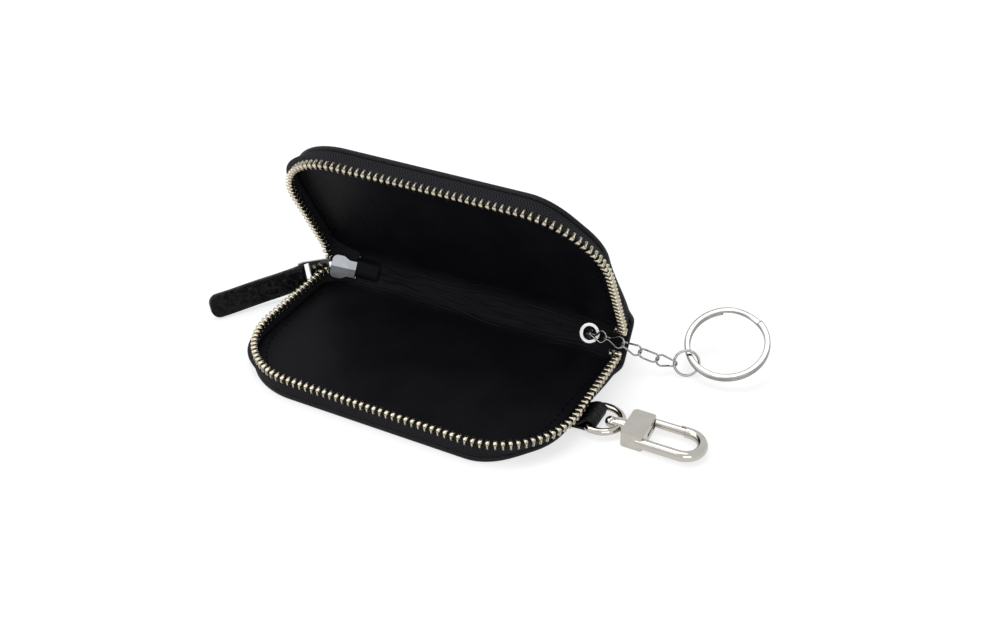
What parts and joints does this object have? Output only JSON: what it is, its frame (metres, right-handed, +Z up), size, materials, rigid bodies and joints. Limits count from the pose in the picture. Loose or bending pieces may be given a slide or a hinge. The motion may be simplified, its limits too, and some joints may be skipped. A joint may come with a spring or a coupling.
{
  "type": "zip-round key case",
  "caption": "Zip-round leather key case standing open on its spine, with a leather zip pull, a key ring on a curb chain and a swivel snap hook on a strap.",
  "frame": {"origin": "centre of the lower half's underside, midway between its sides and between its front zip line and its rear fold", "axes": "+X along the spine towards the key ring and the hook, +Y from the front towards the spine, +Z up"},
  "size_m": [0.1749, 0.0884, 0.0668],
  "materials": {
    "outer_leather": "semi-matt, fine grain",
    "lining_leather": "soft, with lengthwise creases",
    "stiff_board": "plain fibre board",
    "zip_tape": "woven, matt",
    "zip_teeth": "polished pale gold",
    "slider_metal": "satin",
    "ring_metal": "bright plate",
    "hook_metal": "bright nickel plate"
  },
  "bodies": {
    "base": {"lower_cover": "outer_leather", "lower_board": "stiff_board", "lower_lining": "lining_leather", "lower_tape": "zip_tape", "lower_teeth": "zip_teeth", "strap_loop": "outer_leather"},
    "spine": {"spine_cover": "outer_leather", "spine_lining": "lining_leather", "tape_ends": "zip_tape", "end_teeth": "zip_teeth", "top_stops": "zip_teeth", "eyelet": "ring_metal", "eyelet_washer": "ring_metal", "anchor_staple": "ring_metal", "zip_patch": "outer_leather", "tail_tape": "zip_tape", "bottom_stop": "zip_teeth", "slider_body": "slider_metal", "slider_bridge": "slider_metal"},
    "lid": {"upper_cover": "outer_leather", "upper_board": "stiff_board", "upper_lining": "lining_leather", "upper_tape": "zip_tape", "upper_teeth": "zip_teeth"},
    "puller": {"puller_link": "slider_metal"},
    "tab": {"pull_tab": "outer_leather"},
    "link_1": {"chain_link_1": "ring_metal"},
    "link_2": {"chain_link_2": "ring_metal"},
    "link_3": {"chain_link_3": "ring_metal"},
    "link_4": {"chain_link_4": "ring_metal"},
    "link_5": {"chain_link_5": "ring_metal"},
    "jump_ring": {"jump_ring": "ring_metal"},
    "split_ring": {"split_ring": "ring_metal"},
    "eye": {"swivel_eye": "hook_metal"},
    "hook": {"hook_body": "hook_metal", "swivel_post": "hook_metal", "gate_pin": "hook_metal", "gate_spring": "slider_metal"},
    "gate": {"gate": "hook_metal"}
  },
  "joints": [
    {"name": "spine_fold", "type": "hinge", "parent": "base", "child": "spine", "pos_m": [0, 0.03, 0.0022], "axis": [-1, 0, 0], "range_deg": [-31, 59]},
    {"name": "lid_fold", "type": "hinge", "parent": "spine", "child": "lid", "pos_m": [0, 0.03623, 0.01257], "axis": [-1, 0, 0], "range_deg": [-31, 59]},
    {"name": "pull_swing", "type": "hinge", "parent": "spine", "child": "puller", "pos_m": [-0.05262, 0.03251, 0.00681], "axis": [-0.1736, 0.0466, 0.9837], "range_deg": [-90, 0]},
    {"name": "tab_swing", "type": "hinge", "parent": "puller", "child": "tab", "pos_m": [-0.05941, 0.02075, 0.00617], "axis": [-0.1736, 0.0466, 0.9837], "range_deg": [-70, 35]},
    {"name": "link_1_swing", "type": "hinge", "parent": "spine", "child": "link_1", "pos_m": [0.0429, 0.03054, 0.00893], "axis": [0, 0.515, 0.8572], "range_deg": [-6, 2]},
    {"name": "link_2_swing", "type": "hinge", "parent": "link_1", "child": "link_2", "pos_m": [0.04867, 0.02973, 0.00985], "axis": [-0.0611, 0.5287, 0.8466], "range_deg": [-5, 2]},
    {"name": "link_3_swing", "type": "hinge", "parent": "link_2", "child": "link_3", "pos_m": [0.05452, 0.02994, 0.00914], "axis": [-0.0956, -0.4262, -0.8996], "range_deg": [-10, 12]},
    {"name": "link_4_swing", "type": "hinge", "parent": "link_3", "child": "link_4", "pos_m": [0.05993, 0.03099, 0.00702], "axis": [0.3259, 0.1875, 0.9266], "range_deg": [-15, 15]},
    {"name": "link_5_swing", "type": "hinge", "parent": "link_4", "child": "link_5", "pos_m": [0.06519, 0.0327, 0.00495], "axis": [-0.3682, 0.0085, -0.9297], "range_deg": [-15, 15]},
    {"name": "jump_ring_swing", "type": "hinge", "parent": "link_5", "child": "jump_ring", "pos_m": [0.07068, 0.03448, 0.00373], "axis": [0.2991, -0.2967, 0.9069], "range_deg": [-15, 15]},
    {"name": "split_ring_swing", "type": "hinge", "parent": "jump_ring", "child": "split_ring", "pos_m": [0.0763, 0.03824, 0.0054], "axis": [0.5261, -0.2222, -0.8209], "range_deg": [-15, 15]},
    {"name": "eye_pivot", "type": "hinge", "parent": "base", "child": "eye", "pos_m": [0.057, 0.001, 0.0026], "axis": [0, -1, 0], "range_deg": [-20, 75]},
    {"name": "hook_spin", "type": "hinge", "parent": "eye", "child": "hook", "pos_m": [0.0674, 0.001, 0.0026], "axis": [1, 0, 0], "continuous": true},
    {"name": "gate_pivot", "type": "hinge", "parent": "hook", "child": "gate", "pos_m": [0.0727, 0.0056, 0.0026], "axis": [0, 0, -1], "range_deg": [0, 20], "stiffness_Nm_per_rad": 0.003, "springref_deg": -17.19}
  ],
  "couplings": [
    {"joint": "lid_fold", "follows": "spine_fold", "ratio": 1}
  ]
}
